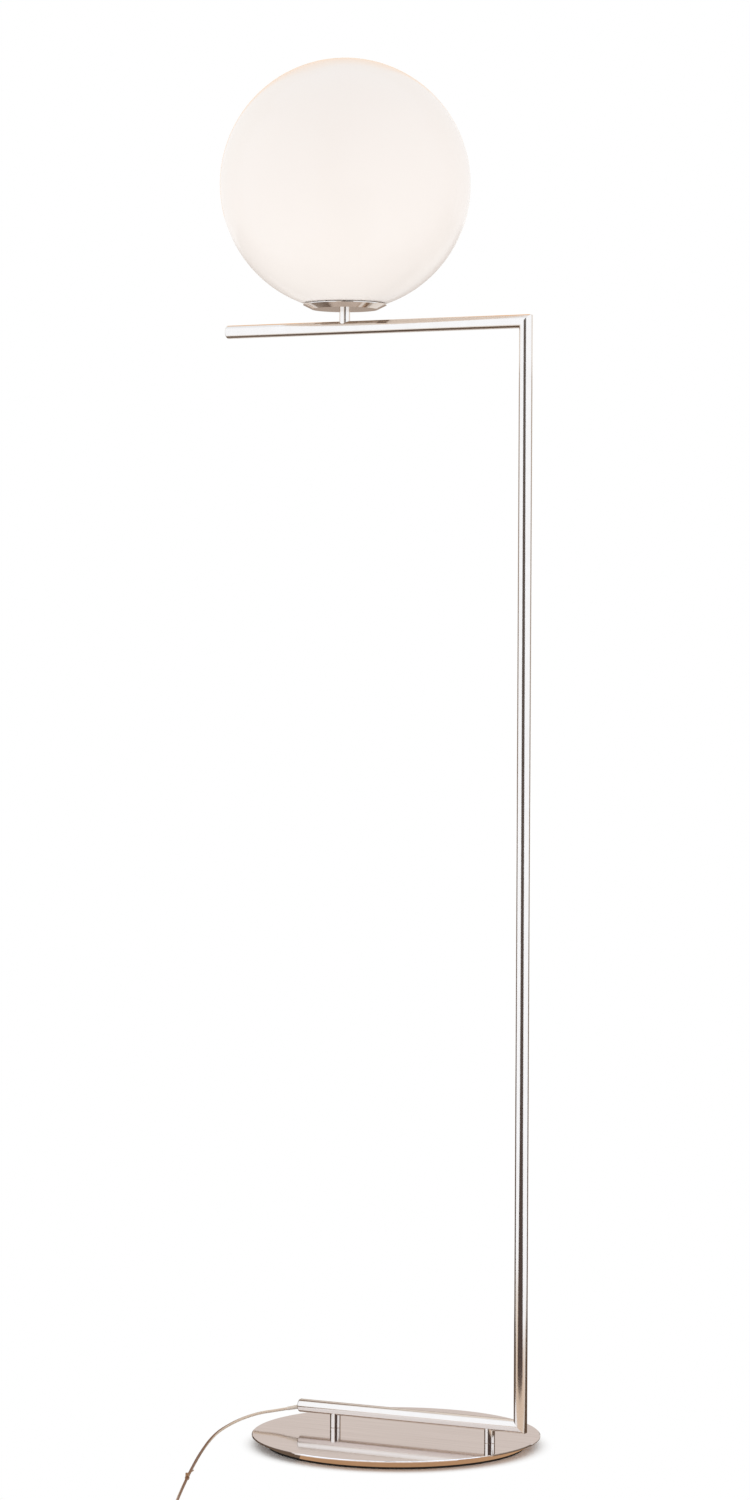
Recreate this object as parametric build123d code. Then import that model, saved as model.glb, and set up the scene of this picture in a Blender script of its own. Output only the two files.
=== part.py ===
"""Floor lamp with a glass ball: a round steel base, a mitred tube frame and a ball on its upper arm.

Millimetres. The origin is the centre of the base on the floor, +Z is up, the arms run along X
and the post stands at +X. Every piece is one solid in a file of its own.
"""
from build123d import *
import math
import os

# Base
BASE_DIAMETER = 345.0          # flat top of the disc
BASE_FOOT_DIAMETER = 312.0     # underside, after the conical undercut
BASE_THICKNESS = 10.0
BASE_LAND = 1.6                # edge above the undercut
BASE_RIM_CHAMFER = 0.8         # broken top edge
PAD_THICKNESS = 2.5
PAD_INSET = 1.5                # pad edge inside the underside's edge

# Tube frame
TUBE_DIAMETER = 16.0
TUBE_WALL = 1.2
POST_INSET = 8.5               # post axis inside the edge of the base
FRAME_HEIGHT = 1299.0          # lower arm axis to upper arm axis
LOWER_ARM_REACH = 294.5        # post axis to the free end, cap included
UPPER_ARM_REACH = 400.0
CORNER_ROUND = 3.0             # ground weld on the outer corners
CAP_HEAD = 3.0
CAP_SPIGOT = 12.0
CAP_EDGE = 1.5

# Stand-offs between base and lower arm
STANDOFF_DIAMETER = 13.0
STANDOFF_HEIGHT = 14.5
STANDOFF_FROM_POST = {"post_side": 40.0, "cord_side": 246.0}
SCREW_DIAMETER = 6.0
SCREW_HEAD_DIAMETER = 10.0
SCREW_HEAD_HEIGHT = 2.8
SCREW_SOCKET_WIDTH = 4.0
SCREW_SOCKET_DEPTH = 1.6
SCREW_SEAT = 3.5               # plate left above the pocket for the head
SCREW_GRIP = 9.0               # thread length inside the stand-off

# Head
HEAD_REACH = 239.5             # post axis to the ball's axis
STEM_DIAMETER = 13.0
STEM_HEIGHT = 14.0             # arm's top line to the dish
NIPPLE_DIAMETER = 10.0
NIPPLE_BORE = 6.6
NIPPLE_GRIP = 9.0              # thread length inside the lampholder's cap and the nut
ANCHOR_LENGTH = 24.0
ANCHOR_BORE = 7.0
DISH_RIM_DIAMETER = 100.0
DISH_FLOOR_DIAMETER = 79.0
DISH_DEPTH = 6.0
DISH_SHEET = 1.0
DISH_LIP = 0.8                 # upright edge of the rim
GASKET_THICKNESS = 1.2
GASKET_WIDTH = 3.0
GLOBE_DIAMETER = 300.0
GLOBE_WALL = 3.0
NECK_DIAMETER = 76.0
NECK_HEIGHT = 1.6              # straight collar under the ball
LEAF_COUNT = 3
LEAF_WIDTH = 9.0
LEAF_HEIGHT = 15.0
LEAF_SHEET = 0.8
LEAF_HUB_DIAMETER = 26.0
WASHER_DIAMETER = 20.0
WASHER_THICKNESS = 1.0
NUT_WIDTH = 14.0
NUT_THICKNESS = 4.0

# Lampholder and bulb, Edison screw 27 mm
HOLDER_DIAMETER = 40.0
HOLDER_WALL = 2.2
HOLDER_HEIGHT = 42.0
HOLDER_CAP_HEIGHT = 13.0
HOLDER_FLOOR = 3.0
HOLDER_SPIGOT = 5.0            # cap's collar inside the shell
BLOCK_THICKNESS = 6.0
SCREW_SHELL_BORE = 27.2
SCREW_SHELL_SHEET = 0.6
SCREW_SHELL_HEIGHT = 21.0
CONTACT_DIAMETER = 8.0
CONTACT_HEIGHT = 2.0
BULB_CAP_DIAMETER = 26.2
BULB_CAP_SHEET = 0.8
BULB_TIP_HEIGHT = 4.0
BULB_BODY_HEIGHT = 26.0
BULB_DIAMETER = 45.0
BULB_WALL = 1.6
BULB_LIFT = 1.0                # bulb's collar above the holder's rim

# Cord
CORD_DIAMETER = 3.4
WIRE_DIAMETER = 1.6
WIRE_SPACING = 2.2
RELIEF_ROOT_DIAMETER = 5.2
RELIEF_TIP_DIAMETER = 4.2
RELIEF_LENGTH = 16.0           # outside the arm
RELIEF_DROP = 12.0             # degrees below the arm
RELIEF_TURN = 14.0             # degrees towards the front
CORD_EXIT_BELOW_AXIS = 1.6
TUBE_BEND = 17.0               # inner lead at the frame's corners
WIRE_BEND = 4.0

# Foot switch on the cord; its middle sets the place of the put-away length
RUN_X, RUN_Y, RUN_ANGLE = 72.0, -480.0, 28.0
SWITCH_LENGTH = 64.0
SWITCH_WIDTH = 38.0
SWITCH_WALL = 2.0
SWITCH_FOOT = 1.0
SWITCH_BASE_HEIGHT = 9.0
SWITCH_COVER_HEIGHT = 7.0
SWITCH_CORD_HEIGHT = 6.0       # cord's axis above the floor
SWITCH_SCREW_SPACING = 52.0
SWITCH_SCREW_DIAMETER = 2.6
SWITCH_SCREW_HEAD = 5.0
BUTTON_DIAMETER = 25.0
BUTTON_RISE = 3.6              # above the cover
BUTTON_TRAVEL = 2.5
BUTTON_FLANGE = 2.0
PLUNGER_DIAMETER = 4.0
CONTACT_BLOCK = (16.0, 12.0, 3.0)
TERMINAL = (6.0, 8.0, 4.0)
TERMINAL_SPACING = 29.0
SPRING_DIAMETER = 9.0
SPRING_WIRE = 0.8
SPRING_TURNS = 4
BUSH_LENGTH = 14.0
BUSH_ROOT_DIAMETER = 8.0
BUSH_TIP_DIAMETER = 4.6

# Put-away coil and plug
COIL_START_X = 105.0           # along the run, from the switch's middle
COIL_START_Y = 4.0
COIL_INNER_RADIUS = 15.0
COIL_PITCH = 4.0               # turn beside turn, and layer on layer
COIL_LAYERS = 4
COIL_LAYER_TURNS = 2.0
COIL_FIRST_EXTRA = 0.5         # further turns of the lowest layer
TIE_THICKNESS = 1.0
TIE_WIDTH = 7.0
PLUG_TIP_X = 160.0             # strain relief's tip along the run
PLUG_WIDTH = 34.0
PLUG_TAIL_WIDTH = 18.0
PLUG_LENGTH = 34.0
PLUG_THICKNESS = 15.0
PIN_DIAMETER = 4.0
PIN_LENGTH = 19.0
PIN_SPACING = 18.6
PIN_SEAT = 6.0

# Route of the cord: offsets from its exit down to the floor, then places on the floor
CORD_DROP = [(-44.5, -18.5, -8.6), (-57.0, -33.0, -12.8), (-65.0, -51.0, -17.5), (-68.5, -78.0, -23.2),
             (-63.5, -108.0, -28.0)]
CORD_FLOOR = [(-181.5, -147.0), (-161.5, -195.0), (-142.0, -239.5), (-122.0, -283.5), (-100.0, -332.0),
              (-77.0, -383.0), (-52.0, -436.5), (-27.5, -479.0)]
CORD_RISE = (-4.0, -502.5, 3.2)
RELIEF_RUN = 14.0              # straight out of the strain relief
SWITCH_RUN_IN = 18.0           # straight into the switch, and out of it
SWITCH_RUN_OUT = 13.0
COIL_WAY_IN = (75.0, 1.5, 4.3)
COIL_WAY_OUT = (134.0, 1.4, 11.5)
COIL_RUN = 11.0                # straight at the ends of the coil and into the plug

# Small tie left on the cord
MARKER_WIDTH = 3.0
MARKER_WALL = 0.8
MARKER_HEAD = 3.8
MARKER_TAIL = 9.0
MARKER_TAIL_TILT = 35.0
MARKER_TAIL_SHEET = 0.9

# Fits
SLIP = 0.1                     # radial room where one piece slides into another
RUNNING = 0.3                  # room between pieces that move past each other
EDGE = 0.4                     # broken edges

# Levels and axes that the pieces share
base_foot_z = PAD_THICKNESS
base_top_z = base_foot_z + BASE_THICKNESS
tube_radius = TUBE_DIAMETER / 2
bore_radius = tube_radius - TUBE_WALL
post_x = BASE_DIAMETER / 2 - POST_INSET
frame_y = 0.0
lower_z = base_top_z + STANDOFF_HEIGHT + tube_radius
upper_z = lower_z + FRAME_HEIGHT
lower_end_x = post_x - LOWER_ARM_REACH
upper_end_x = post_x - UPPER_ARM_REACH
head_x = post_x - HEAD_REACH
dish_z = upper_z + tube_radius + STEM_HEIGHT
dish_floor_z = dish_z + DISH_SHEET
leaf_top_z = dish_floor_z + LEAF_SHEET
washer_top_z = leaf_top_z + WASHER_THICKNESS
holder_z = washer_top_z + NUT_THICKNESS
holder_rim_z = holder_z + HOLDER_HEIGHT
block_z = holder_z + HOLDER_CAP_HEIGHT
block_top_z = block_z + BLOCK_THICKNESS
seat_z = dish_floor_z + GASKET_THICKNESS
globe_radius = GLOBE_DIAMETER / 2
neck_radius = NECK_DIAMETER / 2
globe_z = seat_z + NECK_HEIGHT + math.sqrt(globe_radius ** 2 - neck_radius ** 2)
exit_z = lower_z - CORD_EXIT_BELOW_AXIS
cord_floor_z = CORD_DIAMETER / 2
marker_run = CORD_FLOOR[3:5]
marker_z = cord_floor_z + MARKER_WALL + SLIP
screw_seat_z = base_top_z - SCREW_SEAT
screw_top_z = base_top_z + SCREW_GRIP
nipple_foot_z = upper_z + ANCHOR_BORE / 2
nipple_top_z = holder_z + NIPPLE_GRIP
standoff_x = {name: post_x - gap for name, gap in STANDOFF_FROM_POST.items()}
run = Location((RUN_X, RUN_Y, 0), (0, 0, RUN_ANGLE))
head = Location((head_x, frame_y, 0))


# Helpers
ON_FOOT = (Align.CENTER, Align.CENTER, Align.MIN)
FROM_AXIS = (Align.MIN, Align.CENTER, Align.MIN)
BEND_SHARE = 0.45              # of a run, at most, for the arc at each of its ends
PROBE_STEP = 1.5               # spacing of the points that measure a winding


def turned(points):
    """Solid of revolution about Z from an outline of (radius, height) points."""
    return revolve(Plane.XZ * make_face(Polyline(*points, close=True)), Axis.Z)


def rod(diameter, low, high):
    """Upright round bar between two heights."""
    return Pos(0, 0, low) * Cylinder(diameter / 2, high - low, align=ON_FOOT)


def sleeve(outer, inner, low, high):
    """Upright tube between two heights."""
    return rod(outer, low, high) - rod(inner, low, high)


def tube_along(path, diameter):
    """Round bar along a path."""
    return sweep(Plane(origin=path @ 0, z_dir=path % 0) * Circle(diameter / 2), path=path)


def bend_radii(points):
    """Largest arc that each corner of a route has room for."""
    radii = []
    for before, corner, after in zip(points, points[1:], points[2:]):
        arriving = Vector(*corner) - Vector(*before)
        leaving = Vector(*after) - Vector(*corner)
        half_turn = math.radians(arriving.get_angle(leaving)) / 2
        radii.append(BEND_SHARE * min(arriving.length, leaving.length) / math.tan(half_turn))
    return radii


def cord_tube(name, points):
    """Cord along a route, with its bends printed and its volume compared with its length."""
    radii = bend_radii(points)
    path = FilletPolyline(*points, radius=radii)
    solid = tube_along(path, CORD_DIAMETER)
    section = math.pi * CORD_DIAMETER ** 2 / 4
    print(name, "length", round(path.length, 1), "radii", [round(r, 1) for r in radii],
          "volume share", round(solid.volume / (section * path.length), 4))
    return solid


def winding_heading(point_at, turns, turn):
    """Direction of a winding at a turn, one-sided at its two ends."""
    step = 0.001
    low, high = max(turn - step, 0), min(turn + step, turns)
    return (Vector(*point_at(high)) - Vector(*point_at(low))).normalized()


def winding(point_at, turns, lead):
    """Path through point_at(turn), quarter turn by quarter turn, as pairs of tangent arcs."""

    def spot(turn):
        return Vector(*point_at(turn))

    def heading(turn):
        return winding_heading(point_at, turns, turn)

    edges = [Line(spot(0) - heading(0) * lead, spot(0))]
    for quarter in range(round(turns * 4)):
        start, end = spot(quarter / 4), spot((quarter + 1) / 4)
        t_start, t_end = heading(quarter / 4), heading((quarter + 1) / 4)
        chord, both = end - start, t_start + t_end
        bend = 2 * (1 - t_start.dot(t_end))
        along = chord.dot(both)
        reach = (math.sqrt(along ** 2 + bend * chord.dot(chord)) - along) / bend
        knee_in, knee_out = start + t_start * reach, end - t_end * reach
        middle = (knee_in + knee_out) * 0.5
        edges.append(TangentArc(start, middle, tangent=t_start))
        edges.append(TangentArc(middle, end, tangent=(knee_out - knee_in).normalized()))
    edges.append(Line(spot(turns), spot(turns) + heading(turns) * lead))
    return Wire([part.edge() for part in edges])


def self_gap(path, diameter, turn_length):
    """Least room between a wound tube and its own other turns, measured on points."""
    count = round(path.length / PROBE_STEP)
    spots = [path @ (i / count) for i in range(count + 1)]
    apart = round(0.6 * turn_length / PROBE_STEP)
    nearest = min((spots[i] - spots[j]).length
                  for i in range(len(spots)) for j in range(i + apart, len(spots)))
    return nearest - diameter


# Base
def base_plate():
    top, foot = BASE_DIAMETER / 2, BASE_FOOT_DIAMETER / 2
    disc = turned([(0, base_foot_z), (foot, base_foot_z), (top, base_top_z - BASE_LAND),
                   (top, base_top_z), (0, base_top_z)])
    disc = chamfer(disc.edges().group_by(Axis.Z)[-1], BASE_RIM_CHAMFER)
    for x in standoff_x.values():
        disc -= Pos(x, frame_y, 0) * screw_hole()
    return disc


def screw_hole():
    """Through hole with a pocket for the head, open to the underside."""
    pocket = rod(SCREW_HEAD_DIAMETER + 2 * SLIP, 0, screw_seat_z)
    return pocket + rod(SCREW_DIAMETER + 2 * SLIP, 0, base_top_z)


def base_pad():
    return rod(BASE_FOOT_DIAMETER - 2 * PAD_INSET, 0, base_foot_z)


def base_screws():
    """Low-headed screws from below, through the plate into the stand-offs."""
    low_z = screw_seat_z - SCREW_HEAD_HEIGHT
    screw = rod(SCREW_HEAD_DIAMETER, low_z, screw_seat_z)
    screw = chamfer(screw.edges().group_by(Axis.Z)[0], EDGE)
    screw += rod(SCREW_DIAMETER, screw_seat_z, screw_top_z)
    socket = extrude(RegularPolygon(SCREW_SOCKET_WIDTH / 2, 6, major_radius=False), SCREW_SOCKET_DEPTH)
    screw -= Pos(0, 0, low_z) * socket
    return Compound([Pos(x, frame_y, 0) * screw for x in standoff_x.values()])


# Stand-offs
def standoff(x):
    """Threaded bar whose top is hollowed to the tube that it is welded to."""
    bar = rod(STANDOFF_DIAMETER, base_top_z, lower_z)
    bar = chamfer(bar.edges().group_by(Axis.Z)[0], EDGE)
    bar -= rod(SCREW_DIAMETER + 2 * SLIP, base_top_z, screw_top_z + SLIP)
    bar = Pos(x, frame_y, 0) * bar
    return bar - Pos(x, frame_y, lower_z) * Rot(0, 90, 0) * Cylinder(tube_radius, TUBE_DIAMETER * 2)


# Tube frame
def frame_outline():
    """Slab whose rounded corners trim the mitred corners of the tubes."""
    low, high = lower_z - tube_radius, upper_z + tube_radius
    left, right = upper_end_x - tube_radius, post_x + tube_radius
    slab = Pos((left + right) / 2, frame_y, (low + high) / 2) * Box(
        right - left, TUBE_DIAMETER, high - low)
    outer = slab.edges().filter_by(Axis.Y).group_by(Axis.X)[-1]
    return fillet(outer, CORNER_ROUND)


def mitre_block(z, turn, side):
    """Half space on one side of the 45 degree plane through a corner."""
    size = 6 * TUBE_DIAMETER
    block = Pos(side * size / 2, 0, 0) * Box(size, size, size)
    return Pos(post_x, frame_y, z) * Rot(0, turn, 0) * block


def arm_tube(end_x, z, turn):
    """Level tube from its free end to the post, mitred on the post's side."""
    length = post_x + tube_radius - end_x
    level = Pos(end_x, frame_y, z) * Rot(0, 90, 0)
    tube = level * sleeve(TUBE_DIAMETER, 2 * bore_radius, 0, length)
    return tube - mitre_block(z, turn, 1) & frame_outline()


def lower_arm():
    return arm_tube(lower_end_x + CAP_HEAD, lower_z, -45)


def upper_arm():
    arm = arm_tube(upper_end_x + CAP_HEAD, upper_z, 45)
    return arm - head * rod(NIPPLE_DIAMETER + 2 * SLIP, upper_z, dish_z)


def post():
    low, high = lower_z - tube_radius, upper_z + tube_radius
    tube = Pos(post_x, frame_y, 0) * sleeve(TUBE_DIAMETER, 2 * bore_radius, low, high)
    tube -= mitre_block(lower_z, -45, -1)
    tube -= mitre_block(upper_z, 45, -1)
    return tube & frame_outline()


def end_cap(end_x, z):
    """Plug with a rounded head as wide as the tube, and a spigot in its bore."""
    cap = rod(TUBE_DIAMETER, 0, CAP_HEAD)
    cap = fillet(cap.edges().group_by(Axis.Z)[0], CAP_EDGE)
    cap += rod(2 * (bore_radius - SLIP), CAP_HEAD, CAP_HEAD + CAP_SPIGOT)
    return Pos(end_x, frame_y, z) * Rot(0, 90, 0) * cap


def lower_arm_cap():
    hole = rod(RELIEF_ROOT_DIAMETER + 2 * SLIP, 0, CAP_HEAD + CAP_SPIGOT)
    return end_cap(lower_end_x, lower_z) - Pos(lower_end_x, frame_y, exit_z) * Rot(0, 90, 0) * hole


# Head
def stem_anchor():
    """Round bar in the upper arm that the nipple screws into, bored for the wires."""
    bar = Cylinder(bore_radius - SLIP, ANCHOR_LENGTH)
    bar -= rod(ANCHOR_BORE, -ANCHOR_BORE / 2, ANCHOR_LENGTH / 2)
    bar = Pos(head_x, frame_y, upper_z) * Rot(0, 90, 0) * bar
    thread = rod(NIPPLE_DIAMETER + 2 * SLIP, nipple_foot_z, dish_z)
    return bar - head * (thread + rod(NIPPLE_BORE, upper_z, dish_z))


def stem_nipple():
    return head * sleeve(NIPPLE_DIAMETER, NIPPLE_BORE, nipple_foot_z, nipple_top_z)


def stem_sleeve():
    """Spacer between arm and dish, its foot hollowed to the arm."""
    ring = head * sleeve(STEM_DIAMETER, NIPPLE_DIAMETER + 2 * SLIP, upper_z, dish_z)
    return ring - Pos(head_x, frame_y, upper_z) * Rot(0, 90, 0) * Cylinder(tube_radius, 2 * STEM_DIAMETER)


def holder_dish():
    rim, floor = DISH_RIM_DIAMETER / 2, DISH_FLOOR_DIAMETER / 2
    slope = math.atan2(DISH_DEPTH - DISH_LIP, rim - floor)
    level = DISH_SHEET / math.sin(slope)
    floor_in = floor + DISH_SHEET / math.tan(slope) - level
    rim_in = floor_in + (DISH_DEPTH - DISH_SHEET) / math.tan(slope)
    hole = NIPPLE_DIAMETER / 2 + SLIP
    rim_z = dish_z + DISH_DEPTH
    pan = turned([(hole, dish_z), (floor, dish_z), (rim, rim_z - DISH_LIP), (rim, rim_z),
                  (rim_in, rim_z), (floor_in, dish_floor_z), (hole, dish_floor_z)])
    return head * pan


def globe_spring():
    """Sheet hub with upright leaves that the ball's neck is pushed over."""
    outer = neck_radius - GLOBE_WALL - RUNNING
    hub = rod(LEAF_HUB_DIAMETER, dish_floor_z, leaf_top_z)
    strip = Box(outer, LEAF_WIDTH, LEAF_SHEET, align=FROM_AXIS)
    leaf = Pos(outer - LEAF_SHEET, 0, 0) * Box(LEAF_SHEET, LEAF_WIDTH, LEAF_HEIGHT, align=FROM_AXIS)
    for k in range(LEAF_COUNT):
        hub += Pos(0, 0, dish_floor_z) * Rot(0, 0, 30 + 360 / LEAF_COUNT * k) * (strip + leaf)
    limit = rod(2 * outer, dish_floor_z, dish_floor_z + LEAF_HEIGHT)
    return head * ((hub & limit) - rod(NIPPLE_DIAMETER + 2 * SLIP, dish_floor_z, leaf_top_z))


def dish_washer():
    return head * sleeve(WASHER_DIAMETER, NIPPLE_DIAMETER + 2 * SLIP, leaf_top_z, washer_top_z)


def dish_nut():
    body = extrude(RegularPolygon(NUT_WIDTH / 2, 6, major_radius=False), NUT_THICKNESS)
    bore = rod(NIPPLE_DIAMETER + 2 * SLIP, washer_top_z, holder_z)
    return head * (Pos(0, 0, washer_top_z) * body - bore)


def globe_gasket():
    outer = NECK_DIAMETER
    return head * sleeve(outer, outer - 2 * GASKET_WIDTH + 2 * SLIP, dish_floor_z, seat_z)


def globe():
    """Blown ball with a short ground neck."""
    inner_radius = globe_radius - GLOBE_WALL
    neck_bore = neck_radius - GLOBE_WALL
    neck_top = globe_z - math.sqrt(globe_radius ** 2 - neck_radius ** 2)
    bore_top = globe_z - math.sqrt(inner_radius ** 2 - neck_bore ** 2)
    crown, crown_in = (0, globe_z + globe_radius), (0, globe_z + inner_radius)
    outer_wall = ThreePointArc((neck_radius, neck_top), (globe_radius, globe_z), crown)
    inner_wall = ThreePointArc(crown_in, (inner_radius, globe_z), (neck_bore, bore_top))
    foot = Polyline((neck_bore, bore_top), (neck_bore, seat_z),
                    (neck_radius, seat_z), (neck_radius, neck_top))
    profile = make_face([outer_wall.edge(), Line(crown, crown_in).edge(), inner_wall.edge(), *foot.edges()])
    return head * revolve(Plane.XZ * profile, Axis.Z)


# Lampholder and bulb
def holder_cap():
    """Lower half of the lampholder, with the nipple's thread in its floor."""
    outer, bore = HOLDER_DIAMETER / 2, HOLDER_DIAMETER / 2 - HOLDER_WALL
    thread = NIPPLE_DIAMETER / 2 + SLIP
    spigot, rim = bore - SLIP, block_z
    floor_z = holder_z + HOLDER_FLOOR
    cup = turned([(thread, holder_z), (outer - HOLDER_WALL, holder_z), (outer, holder_z + HOLDER_WALL),
                  (outer, rim - HOLDER_SPIGOT), (spigot, rim - HOLDER_SPIGOT), (spigot, rim),
                  (spigot - HOLDER_WALL, rim), (spigot - HOLDER_WALL, floor_z), (thread, floor_z)])
    return head * cup


def holder_shell():
    """Upper half, open at the top for the bulb."""
    outer, bore = HOLDER_DIAMETER / 2, HOLDER_DIAMETER / 2 - HOLDER_WALL
    mouth = SCREW_SHELL_BORE / 2 + SCREW_SHELL_SHEET + SLIP
    foot = block_z - HOLDER_SPIGOT
    lip_z = holder_rim_z - HOLDER_WALL
    shell = turned([(bore, foot), (outer, foot), (outer, lip_z), (outer - HOLDER_WALL, holder_rim_z),
                    (mouth, holder_rim_z), (mouth, lip_z), (bore, lip_z)])
    return head * shell


def holder_block():
    """Insulating disc that carries the contacts, on the cap's rim."""
    disc = rod(HOLDER_DIAMETER - 2 * HOLDER_WALL - 2 * SLIP, block_z, block_top_z)
    wire_hole = rod(WIRE_DIAMETER + 2 * SLIP, block_z, block_z + BLOCK_THICKNESS / 2)
    for side in (-1, 1):
        disc -= Pos(0, side * WIRE_SPACING / 2, 0) * wire_hole
    return head * disc


def holder_screw_shell():
    outer = SCREW_SHELL_BORE + 2 * SCREW_SHELL_SHEET
    return head * sleeve(outer, SCREW_SHELL_BORE, block_top_z, block_top_z + SCREW_SHELL_HEIGHT)


def holder_contact():
    return head * rod(CONTACT_DIAMETER, block_top_z, block_top_z + CONTACT_HEIGHT)


bulb_tip_z = block_top_z + CONTACT_HEIGHT + RUNNING
bulb_cap_z = bulb_tip_z + BULB_TIP_HEIGHT
bulb_collar_z = holder_rim_z + BULB_LIFT
bulb_dome_z = bulb_collar_z + BULB_BODY_HEIGHT


def bulb_tip():
    """Insulator and contact button at the bulb's foot."""
    button, rim = CONTACT_DIAMETER / 2, BULB_CAP_DIAMETER / 2 - BULB_CAP_SHEET
    return head * turned([(0, bulb_tip_z), (button, bulb_tip_z), (rim, bulb_cap_z), (0, bulb_cap_z)])


def bulb_cap():
    inner = BULB_CAP_DIAMETER - 2 * BULB_CAP_SHEET
    return head * sleeve(BULB_CAP_DIAMETER, inner, bulb_cap_z, bulb_collar_z)


def bulb_body():
    """Cooling body that flares from the cap to the dome."""
    neck = BULB_CAP_DIAMETER / 2 + BULB_CAP_SHEET
    spigot = BULB_CAP_DIAMETER / 2 - BULB_CAP_SHEET - SLIP
    wide = BULB_DIAMETER / 2
    flare = turned([(0, bulb_cap_z), (spigot, bulb_cap_z), (spigot, bulb_collar_z), (neck, bulb_collar_z),
                    (neck, bulb_collar_z + BULB_LIFT), (wide, bulb_dome_z), (0, bulb_dome_z)])
    return head * flare


def bulb_dome():
    outer = Pos(0, 0, bulb_dome_z) * Sphere(BULB_DIAMETER / 2)
    inner = Pos(0, 0, bulb_dome_z) * Sphere(BULB_DIAMETER / 2 - BULB_WALL)
    upper = rod(2 * BULB_DIAMETER, bulb_dome_z, bulb_dome_z + BULB_DIAMETER)
    return head * ((outer - inner) & upper)


# Cord inside the frame
def inner_lead():
    """Sheathed lead from the strain relief through the three tubes to the stem's anchor."""
    start = lower_end_x + CAP_HEAD + CAP_SPIGOT
    end = head_x + ANCHOR_LENGTH / 2
    route = [(start, frame_y, exit_z), (post_x, frame_y, exit_z),
             (post_x, frame_y, upper_z), (end, frame_y, upper_z)]
    return tube_along(FilletPolyline(*route, radius=TUBE_BEND), CORD_DIAMETER)


def lamp_wires():
    """The lead's two wires, through the anchor and nipple into the contact block."""
    start = head_x + ANCHOR_LENGTH / 2
    wires = []
    for side in (-1, 1):
        y = frame_y + side * WIRE_SPACING / 2
        route = [(start, y, upper_z), (head_x, y, upper_z), (head_x, y, block_z + BLOCK_THICKNESS / 2)]
        wires.append(tube_along(FilletPolyline(*route, radius=WIRE_BEND), WIRE_DIAMETER))
    return Compound(wires)


# Free cord
relief_lean, relief_turn = math.radians(RELIEF_DROP), math.radians(RELIEF_TURN)


def relief_point(distance):
    """Point on the strain relief's leaning axis, outside the arm."""
    out, down = distance * math.cos(relief_lean), distance * math.sin(relief_lean)
    return (lower_end_x - out * math.cos(relief_turn), frame_y - out * math.sin(relief_turn), exit_z - down)


relief_tip = relief_point(RELIEF_LENGTH)


def cord_relief():
    """Moulded strain relief: a round root in the cap and a taper that leans down with the cord."""
    root, tip = RELIEF_ROOT_DIAMETER / 2, RELIEF_TIP_DIAMETER / 2
    inside = rod(2 * root, 0, CAP_HEAD + CAP_SPIGOT)
    knee = Sphere(root)
    taper = Rot(-RELIEF_TURN, 0, 0) * Rot(0, -RELIEF_DROP, 0) * Pos(0, 0, -RELIEF_LENGTH) * Cone(
        tip, root, RELIEF_LENGTH, align=ON_FOOT)
    return Pos(lower_end_x, frame_y, exit_z) * Rot(0, 90, 0) * (inside + knee + taper)


def on_run(x, y, z):
    """Point beside the switch, along and across the run, in the lamp's own frame."""
    spot = (run * Pos(x, y, z)).position
    return (spot.X, spot.Y, spot.Z)


switch_tip = SWITCH_LENGTH / 2 + BUSH_LENGTH
coil_low_z = TIE_THICKNESS + SLIP + CORD_DIAMETER / 2
coil_start_radius = COIL_INNER_RADIUS + COIL_PITCH * (COIL_LAYER_TURNS + COIL_FIRST_EXTRA + 0.25)
coil_turns = COIL_LAYERS * COIL_LAYER_TURNS + COIL_FIRST_EXTRA + 0.5 * (COIL_LAYERS - 1)
coil_centre_y = COIL_START_Y - coil_start_radius


def cord_to_switch():
    """From the strain relief down to the floor, past the front of the base and round to the switch."""
    drop = [(lower_end_x + x, frame_y + y, exit_z + z) for x, y, z in CORD_DROP]
    floor = [(*spot, marker_z if spot in marker_run else cord_floor_z) for spot in CORD_FLOOR]
    start = [relief_tip, relief_point(RELIEF_LENGTH + RELIEF_RUN)]
    end = [on_run(x, 0, SWITCH_CORD_HEIGHT) for x in (-switch_tip - SWITCH_RUN_IN, -switch_tip)]
    return cord_tube("cord_to_switch", start + drop + floor + [CORD_RISE] + end)


def coil_point(turn):
    """Spiral in and out, one layer on the other, with each climb in the half turn of its reversal."""
    swing = COIL_LAYER_TURNS + 0.5
    first = COIL_LAYER_TURNS + COIL_FIRST_EXTRA
    phase = (turn - first - 0.25) / swing
    whole = math.floor(phase)
    out = abs(turn - first - 0.25) if phase < 0 else (
        swing * (phase - whole) if whole % 2 == 0 else swing * (1 - phase + whole))
    radius = COIL_INNER_RADIUS + COIL_PITCH * out
    z = coil_low_z
    for layer in range(COIL_LAYERS - 1):
        rise = min(max((turn - first - layer * swing) / 0.5, 0), 1)
        z += COIL_PITCH * rise * rise * (3 - 2 * rise)
    angle = math.radians(90) - 2 * math.pi * turn
    return on_run(COIL_START_X + radius * math.cos(angle), coil_centre_y + radius * math.sin(angle), z)


coil_top_z = coil_low_z + COIL_PITCH * (COIL_LAYERS - 1)


def coil_lead(turn, distance):
    """Point on the straight line that the coil arrives or leaves on."""
    spot = Vector(*coil_point(turn)) + winding_heading(coil_point, coil_turns, turn) * distance
    return (spot.X, spot.Y, spot.Z)


def cord_to_coil():
    z = SWITCH_CORD_HEIGHT
    route = [on_run(switch_tip, 0, z), on_run(switch_tip + SWITCH_RUN_OUT, 0, z), on_run(*COIL_WAY_IN),
             coil_lead(0, -CORD_DIAMETER - COIL_RUN), coil_lead(0, -CORD_DIAMETER)]
    return cord_tube("cord_to_coil", route)


def cord_coil():
    path = winding(coil_point, coil_turns, CORD_DIAMETER)
    solid = tube_along(path, CORD_DIAMETER)
    section = math.pi * CORD_DIAMETER ** 2 / 4
    gap = self_gap(path, CORD_DIAMETER, 2 * math.pi * COIL_INNER_RADIUS)
    print("cord_coil length", round(path.length, 1), "least self gap", round(gap, 2),
          "volume share", round(solid.volume / (section * path.length), 4))
    return solid


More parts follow.
